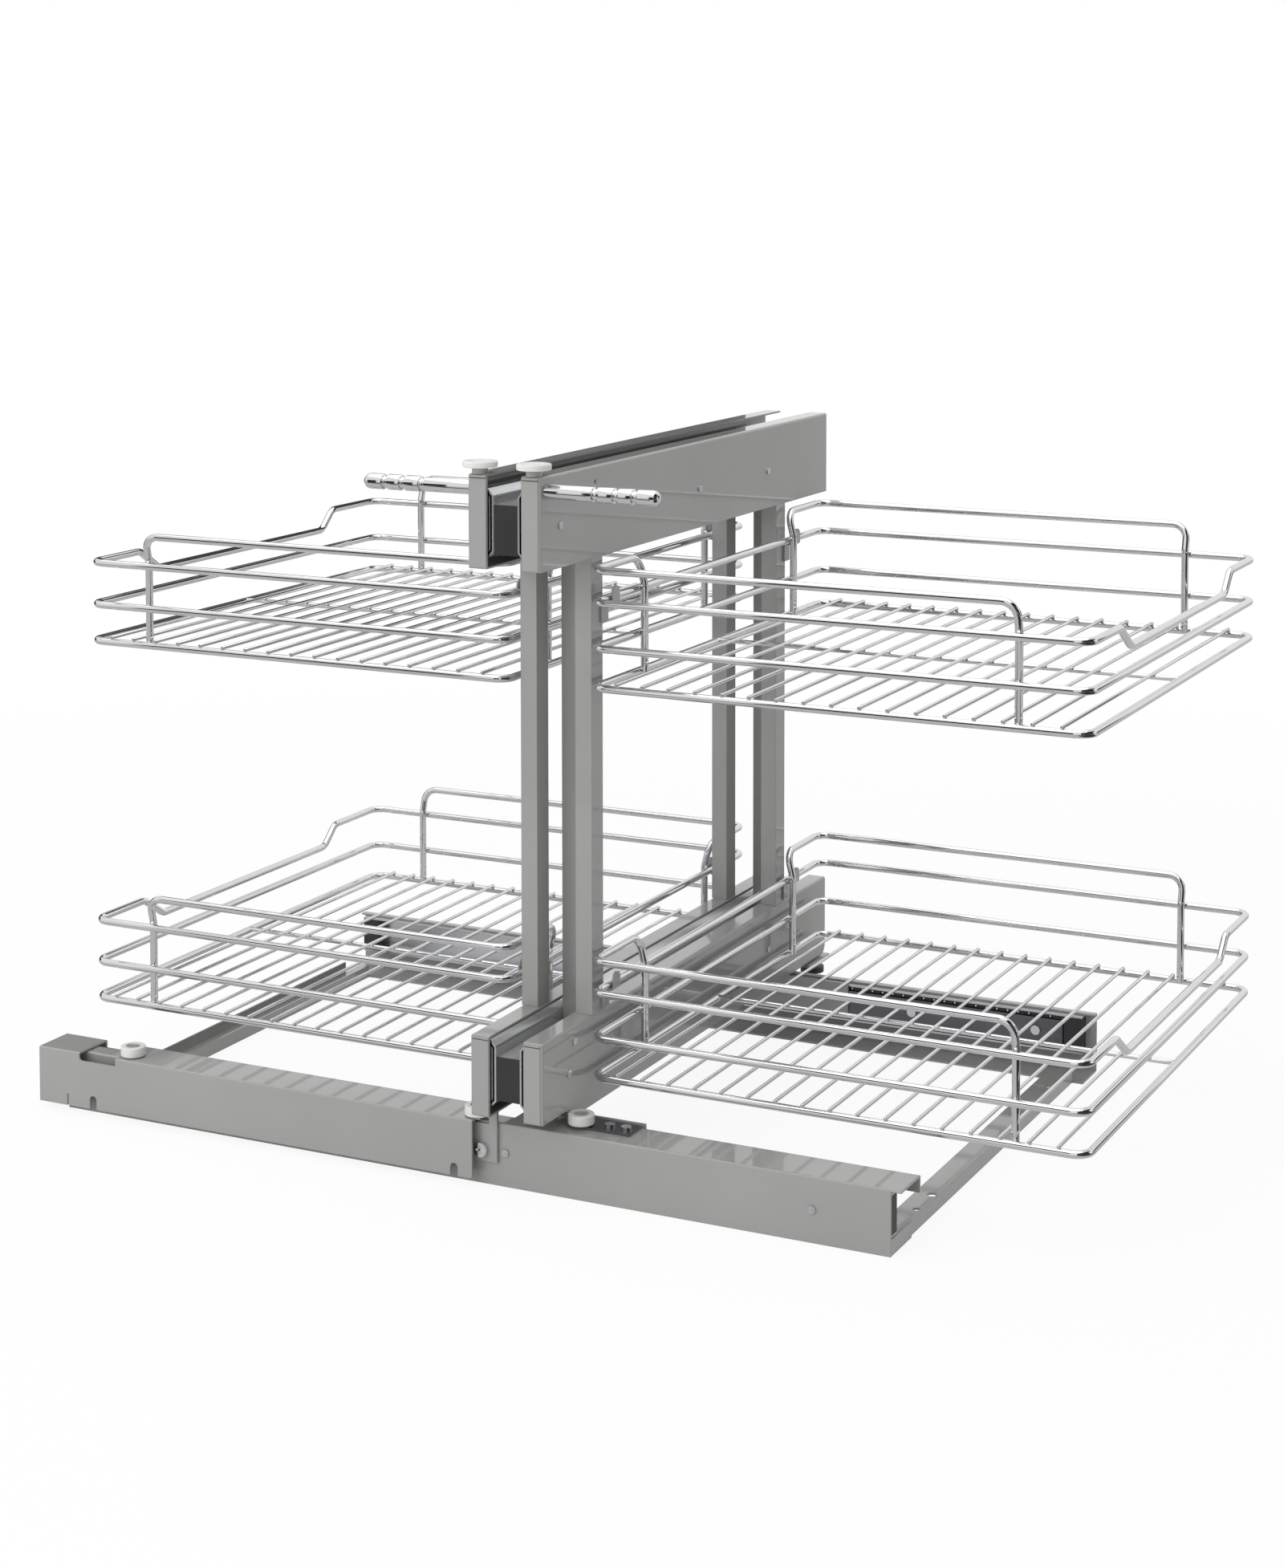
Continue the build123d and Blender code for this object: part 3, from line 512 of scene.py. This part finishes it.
def makeSlides():
    g = slideSize
    sets = {"outer": [], "middle": [], "inner": [], "stop": []}
    for floor in g["floors"]:
        sets["outer"].append(slideSection("outerSlide", g["outerWeb"], g["outerReach"], 0,
                                          g["corner"], floor))
        sets["middle"].append(slideSection("middleSlide", g["middleWeb"], g["middleReach"], g["middleInset"],
                                           g["corner"] * g["middleCorner"], floor))
        sets["inner"].append(slideSection("innerSlide", g["innerWeb"], g["innerReach"], g["innerInset"],
                                          g["innerCorner"], floor))
        sets["stop"].append(slideStop("slideStop", floor))
    places = {"outer": ("carriage", "carriage"), "middle": ("right_middles", "left_middles"),
              "inner": ("right_frame", "left_frame"), "stop": ("right_middles", "left_middles")}
    for kind, pieces in sets.items():
        right = joined("right" + kind.capitalize() + "Slides", pieces)
        left = copied(right, "left" + kind.capitalize() + "Slides", mirrorX=True)
        for piece, body, side in ((right, places[kind][0], "right"), (left, places[kind][1], "left")):
            if kind == "stop":
                dressed(piece, blackPlasticAndSeamShade, "black_plastic", body)
            else:
                dressed(piece, zincPlate, "zinc_plate", body, side + "_" + kind + "_slides")


makeSlides()
print("slides made")


# Chrome handles, turned from one bar: plain neck, three grip grooves, domed end
handleSize = {"from": 30.5, "y": -14.2, "z": 529, "neck": 39.7, "grip": 52.9,
              "neckRadius": 5.6, "radius": 5.9, "grooveRadius": 4.2, "groove": 4.4,
              "grooves": (2.2, 19.0, 34.3), "lead": 0.7, "dome": 5.0, "bend": 0.5}


def makeHandles():
    h = handleSize
    start = h["from"] + h["neck"]
    end = start + h["grip"]
    profile = [(h["from"], 0), (h["from"], h["neckRadius"])]
    for offset in h["grooves"]:
        low, high = start + offset - h["groove"] / 2, start + offset + h["groove"] / 2
        shoulder = h["neckRadius"] if low < start + 1 else h["radius"]
        profile += [(low, shoulder), (low + h["lead"], h["grooveRadius"]),
                    (high - h["lead"], h["grooveRadius"]), (high, h["radius"])]
    for turn in (0, 30, 60, 90):
        around = math.radians(turn)
        profile.append((end - h["dome"] * (1 - math.sin(around)),
                        h["radius"] - h["dome"] * (1 - math.cos(around))))
    profile.append((end, 0))
    points = [(x, h["y"], h["z"] + r) for x, r in profile]
    right = lathe("rightHandle", points, (1, 0, 0), h["bend"])
    left = copied(right, "leftHandle", mirrorX=True)
    dressed(right, chromePlate, "chrome_wire", "right_frame", "right_handle")
    dressed(left, chromePlate, "chrome_wire", "left_frame", "left_handle")


makeHandles()
print("handles made")


# Nylon discs that run under the cabinet's top, dished, on painted stems
discSize = {"x": 22.5, "y": -17.2, "low": 544.7, "high": 549.3, "radius": 13.0, "dish": 0.5, "hub": 4.0,
            "rimShare": 0.62, "dishShare": 0.5, "hubDrop": 0.1, "hubRound": 0.8, "bend": 0.9}


def makeDiscs():
    d = discSize
    dished, crown = d["high"] - d["dish"], d["high"] - d["hubDrop"]
    profile = [(d["low"], 0), (d["low"], d["radius"]), (d["high"], d["radius"]),
               (d["high"], d["radius"] * d["rimShare"]), (dished, d["radius"] * d["dishShare"]),
               (dished, d["hub"]), (crown, d["hub"] - d["hubRound"]), (crown, 0)]
    points = [(d["x"] + r, d["y"], z) for z, r in profile]
    right = lathe("rightDisc", points, (0, 0, 1), d["bend"], 40)
    left = copied(right, "leftDisc", mirrorX=True)
    dressed(right, whiteNylon, "white_nylon", "right_disc", "right_disc_roller")
    dressed(left, whiteNylon, "white_nylon", "left_disc", "left_disc_roller")


makeDiscs()
print("discs made")


# Hooks behind the posts: a flat arm and a tongue with a rounded top
hookSize = {"posts": (57, 399), "offset": 14, "width": 11, "plate": 1.5, "rise": 9, "leg": 16, "face": 30.5,
            "tongue": 40.3, "ring": 64.5, "under": 3.3, "round": 5.0, "bend": 1.6}


def makeHooks():
    h = hookSize
    pieces = []
    for floor in (basketSize["lowerFloor"], basketSize["upperFloor"]):
        arm = floor + h["ring"] - h["under"]
        for post in h["posts"]:
            low = post + h["offset"]
            half = h["plate"] / 2
            crest = floor + h["ring"] + h["rise"]
            points = [(h["face"] + half, low, arm - h["leg"]), (h["face"] + half, low, arm - half),
                      (h["tongue"] + half, low, arm - half), (h["tongue"] + half, low, crest)]
            piece = bentSheet("hook", points, h["width"], h["plate"], h["bend"])
            top = crest / 1000
            editing(piece, lambda edge: all(abs(vert.co.z - top) < 2e-5 for vert in edge.verts)
                    and abs(edge.verts[0].co.x - edge.verts[1].co.x) > 0.001, "edges")
            bpy.ops.mesh.bevel(offset=h["round"] / 1000, segments=6, affect="EDGES")
            pieces.append(finished(piece, 30))
    right = joined("rightHooks", pieces)
    left = copied(right, "leftHooks", mirrorX=True)
    dressed(right, greyPaint, "grey_paint", "right_frame", "right_basket_hooks")
    dressed(left, greyPaint, "grey_paint", "left_frame", "left_basket_hooks")


makeHooks()
print("hooks made")


# Front tabs folded from the web, with the seam just under the top flange; a thin black strip behind the
# seam's gap is painted shade
tabSize = {"inner": 14.9, "outer": 28.6, "front": -22.0, "thick": 0.35, "seam": 3.2, "open": 0.55,
           "edge": 0.7, "lap": 0.1, "seamShadeThick": 0.06, "bend": 0.2, "beams": ((59.6, 120.6), (470, 540))}


def makeTabs():
    t = tabSize
    tabs, seamShades = [], []
    for low, high in t["beams"]:
        seam = high - t["seam"]
        spans = ((tabs, low + t["edge"], seam, t["thick"]),
                 (tabs, seam + t["open"], high - t["edge"], t["thick"]),
                 (seamShades, seam - t["lap"], seam + t["open"] + t["lap"], t["seamShadeThick"]))
        for pieces, bottom, top, thick in spans:
            outline = [(t["inner"], t["front"], bottom), (t["outer"], t["front"], bottom),
                       (t["outer"], t["front"], top), (t["inner"], t["front"], top)]
            pieces.append(plate("tab", outline, (0, -thick, 0), t["bend"]))
    # the seam strips are black only to paint the shade in the gap between the two plates
    for pieces, kind, finish, slot in ((tabs, "Tabs", greyPaint, "grey_paint"),
                                       (seamShades, "SeamShades", blackPlasticAndSeamShade, "black_plastic")):
        right = joined("right" + kind, pieces)
        left = copied(right, "left" + kind, mirrorX=True)
        dressed(right, finish, slot, "right_frame")
        dressed(left, finish, slot, "left_frame")


makeTabs()
print("tabs made")


# Ball cages of the sideways slides: strips with a steel ball in each pocket
cageSize = {"from": -119.0, "to": 280.0, "thick": 3.2, "deep": 8.2, "pitch": 9.5, "margin": 7.0, "ball": 1.5,
            "pocket": 4.6, "rim": 0.4, "sunk": 1.6, "proud": 0.7,
            "front": (3.05, (14.3, 39.5)), "rear": (435.0, (18.8, 44.0))}


def cageStrip(name, near, floor, outward):
    # the strip's open face has a sunk pocket round each ball
    c = cageSize
    length = c["to"] - c["from"]
    nothingSelected()
    centre = metres((c["from"] + c["to"]) / 2, near + c["deep"] / 2, floor + c["thick"] / 2)
    bpy.ops.mesh.primitive_cube_add(size=1, location=centre, scale=metres(length, c["deep"], c["thick"]))
    piece = bpy.context.object
    piece.name = name
    editing(piece)
    pitches = int((length - 2 * c["margin"]) / c["pitch"])
    middles = [c["from"] + c["margin"] + index * c["pitch"] for index in range(pitches + 1)]
    for middle in middles:
        for side in (-1, 1):
            bpy.ops.mesh.select_all(action="SELECT")
            bpy.ops.mesh.bisect(plane_co=metres(middle + side * c["pocket"] / 2, 0, 0), plane_no=(1, 0, 0))
    bpy.ops.object.mode_set(mode="OBJECT")
    bpy.ops.object.transform_apply(location=True, rotation=True, scale=True)
    editing(piece, lambda face: face.normal.y * outward > 0.5
            and any(abs(face.calc_center_median().x * 1000 - middle) < 0.5 for middle in middles), "faces")
    bpy.ops.mesh.inset(thickness=c["rim"] / 1000)
    bpy.ops.mesh.extrude_region_move(TRANSFORM_OT_translate={"value": metres(0, -outward * c["sunk"], 0)})
    bpy.ops.mesh.select_all(action="SELECT")
    bpy.ops.mesh.normals_make_consistent(inside=False)
    return finished(piece, 30), middles


def cageBalls(name, middles, near, floor, outward):
    c = cageSize
    face = near + c["deep"] if outward > 0 else near
    nothingSelected()
    centre = metres(middles[0], face - outward * (c["ball"] - c["proud"]), floor + c["thick"] / 2)
    bpy.ops.mesh.primitive_ico_sphere_add(subdivisions=2, radius=c["ball"] / 1000, location=centre)
    first = finished(bpy.context.object, 60)
    first.name = name
    balls = [first]
    for middle in middles[1:]:
        balls.append(copied(first, name, (middle - middles[0], 0, 0)))
    return joined(name, balls)


def makeCages():
    c = cageSize
    for side, outward in (("front", 1), ("rear", -1)):
        near, floors = c[side]
        low, middles = cageStrip(side + "Cage", near, floors[0], outward)
        lowBalls = cageBalls(side + "CageBalls", middles, near, floors[0], outward)
        lift = (0, 0, floors[1] - floors[0])
        high, highBalls = copied(low, "cage", lift), copied(lowBalls, "balls", lift)
        strips = joined(side + "Cage", [low, high])
        balls = joined(side + "CageBalls", [lowBalls, highBalls])
        dressed(strips, blackPlasticAndSeamShade, "black_plastic", "lateral_cages", side + "_lateral_cage")
        dressed(balls, brightSteel, "bright_steel", "lateral_cages")


makeCages()
print("ball cages made")


# Studio: white to the camera and grey in reflections, a soft top light and a fill from the front left
studio = {"floorSize": 30, "floorDrop": 0.0005, "floorColour": (0.95, 0.95, 0.95, 1), "ambient": 0.50,
          "floorShadow": 0.1, "shadowFrom": 0.9, "shadowTo": 2.2, "floorGloss": 0.56, "wallGloss": 0.90,
          "white": (1, 1, 1, 1)}


def makeFloor():
    nothingSelected()
    bpy.ops.mesh.primitive_plane_add(size=studio["floorSize"], location=(0, 0, -studio["floorDrop"]))
    floor = finished(bpy.context.object)
    floor.name = "studioFloor"
    material = bpy.data.materials.new("paleFloor")
    nodes = Nodes(material)
    nodes.tree.nodes.clear()
    place = nodes.add("ShaderNodeTexCoord", output="Object")
    far = nodes.add("ShaderNodeVectorMath", {"operation": "LENGTH"}, {0: place}, "Value")
    shadow = nodes.add("ShaderNodeMapRange", {"interpolation_type": "SMOOTHSTEP"},
                       {"Value": far, "From Min": studio["shadowFrom"], "From Max": studio["shadowTo"],
                        "To Min": studio["floorShadow"], "To Max": 0.0})
    white = nodes.add("ShaderNodeEmission")
    diffuse = nodes.add("ShaderNodeBsdfDiffuse", {}, {"Color": studio["floorColour"]})
    grey = nodes.add("ShaderNodeEmission", {}, {"Strength": studio["floorGloss"]})
    inGloss = nodes.add("ShaderNodeLightPath", output="Is Glossy Ray")
    plain = nodes.add("ShaderNodeMixShader", {}, {0: inGloss, 1: diffuse, 2: grey})
    share = nodes.add("ShaderNodeLightPath", output="Is Camera Ray") * (1 - shadow)
    mixed = nodes.add("ShaderNodeMixShader", {}, {0: share, 1: plain, 2: white})
    nodes.add("ShaderNodeOutputMaterial", {}, {0: mixed})
    floor.data.materials.append(material)


def makeWorld():
    world = bpy.data.worlds.new("studioWhite")
    bpy.context.scene.world = world
    nodes = Nodes(world)
    nodes.tree.nodes.clear()
    colour = studio["white"]
    white = nodes.add("ShaderNodeBackground", {}, {"Color": colour})
    soft = nodes.add("ShaderNodeBackground", {}, {"Color": colour, "Strength": studio["ambient"]})
    grey = nodes.add("ShaderNodeBackground", {}, {"Color": colour, "Strength": studio["wallGloss"]})
    inGloss = nodes.add("ShaderNodeLightPath", output="Is Glossy Ray")
    unseen = nodes.add("ShaderNodeMixShader", {}, {0: inGloss, 1: soft, 2: grey})
    seen = nodes.add("ShaderNodeLightPath", output="Is Camera Ray")
    mixed = nodes.add("ShaderNodeMixShader", {}, {0: seen, 1: unseen, 2: white})
    nodes.add("ShaderNodeOutputWorld", {}, {0: mixed})


lampPlan = {
    "topSoftbox": {"place": (-0.2, 0.1, 2.6), "size": (3.4, 3.0), "power": 34, "gloss": True},
    "frontLeftSoftbox": {"place": (-1.5, -2.7, 1.6), "size": (3.6, 2.6), "power": 54, "gloss": False},
}
lampAim = (-0.05, 0.2, 0.25)


def makeLamps():
    for name, plan in lampPlan.items():
        light = bpy.data.lights.new(name, "AREA")
        light.shape = "RECTANGLE"
        light.size, light.size_y = plan["size"]
        light.energy = plan["power"]
        lamp = bpy.data.objects.new(name, light)
        bpy.context.scene.collection.objects.link(lamp)
        lamp.location = plan["place"]
        lamp.visible_glossy = plan["gloss"]
        aim = Vector(lampAim) - Vector(plan["place"])
        lamp.rotation_euler = aim.to_track_quat("-Z", "Y").to_euler()


# Dark flags seen only in reflections; the near ones stand beyond the reach of the pulled out frames
flagColour = (0.02, 0.02, 0.02, 1)
flagPlan = {
    "flagFloor": {"place": (-0.7, -1.35, 0.010), "size": (0.8, 0.8)},
    "flagFloorRight": {"place": (1.3, -0.35, 0.011), "size": (1.5, 1.5)},
    "flagTopRight": {"place": (2.3, 0.0, 2.2), "size": (1.4, 3.0)},
    "flagNearRight": {"place": (0.065, -0.62, 0.53), "size": (0.45, 0.40), "aim": (0.065, 1, 0.53)},
    "flagNearLeft": {"place": (-0.67, -0.62, 0.53), "size": (0.58, 0.40), "aim": (-0.67, 1, 0.53)},
    "flagBackRight": {"place": (2.35, 2.41, 0.70), "size": (1.66, 0.8), "aim": (0.52, 0.04, 0.70)},
    "flagBackLeft": {"place": (-0.50, 0.62, 0.64), "size": (0.80, 0.30), "aim": (-0.50, 0, 0.64)},
    "flagLeft": {"place": (-3.0, 1.5, 0.6), "size": (3.2, 1.2), "aim": (0, 0.2, 0.6)},
    "flagRight": {"place": (2.4, -0.9, 1.3), "size": (3.4, 2.6), "aim": (0, 0.2, 1.3)},
}


def makeFlags():
    material = bpy.data.materials.new("blackFlag")
    material.use_nodes = True
    material.node_tree.nodes["Principled BSDF"].inputs["Base Color"].default_value = flagColour
    for name, plan in flagPlan.items():
        nothingSelected()
        bpy.ops.mesh.primitive_plane_add(size=1, location=plan["place"])
        flag = bpy.context.object
        flag.name = name
        if "aim" in plan:
            toward = Vector(plan["aim"]) - Vector(plan["place"])
            flag.rotation_euler = toward.to_track_quat("Z", "Y").to_euler()
        flag.scale = (plan["size"][0], plan["size"][1], 1)
        flag.data.materials.append(material)
        flag.visible_camera = False
        flag.visible_diffuse = False
        flag.visible_shadow = False


cameraPlan = {"place": (1.0240, -1.8355, 0.7914), "yaw": 25.79, "pitch": 3.78, "lens": 65.80,
              "shift": (-0.0281, -0.2963), "sensor": 36, "clip": (0.05, 60)}


def makeCamera():
    lens = bpy.data.cameras.new("photoCamera")
    lens.lens = cameraPlan["lens"]
    lens.sensor_width = cameraPlan["sensor"]
    lens.shift_x, lens.shift_y = cameraPlan["shift"]
    lens.clip_start, lens.clip_end = cameraPlan["clip"]
    camera = bpy.data.objects.new("photoCamera", lens)
    bpy.context.scene.collection.objects.link(camera)
    camera.location = cameraPlan["place"]
    camera.rotation_euler = (math.radians(90 - cameraPlan["pitch"]), 0, math.radians(cameraPlan["yaw"]))
    bpy.context.scene.camera = camera


makeFloor()
makeWorld()
makeLamps()
makeFlags()
makeCamera()
bpy.context.scene.view_settings.view_transform = "Standard"
print("studio ready")
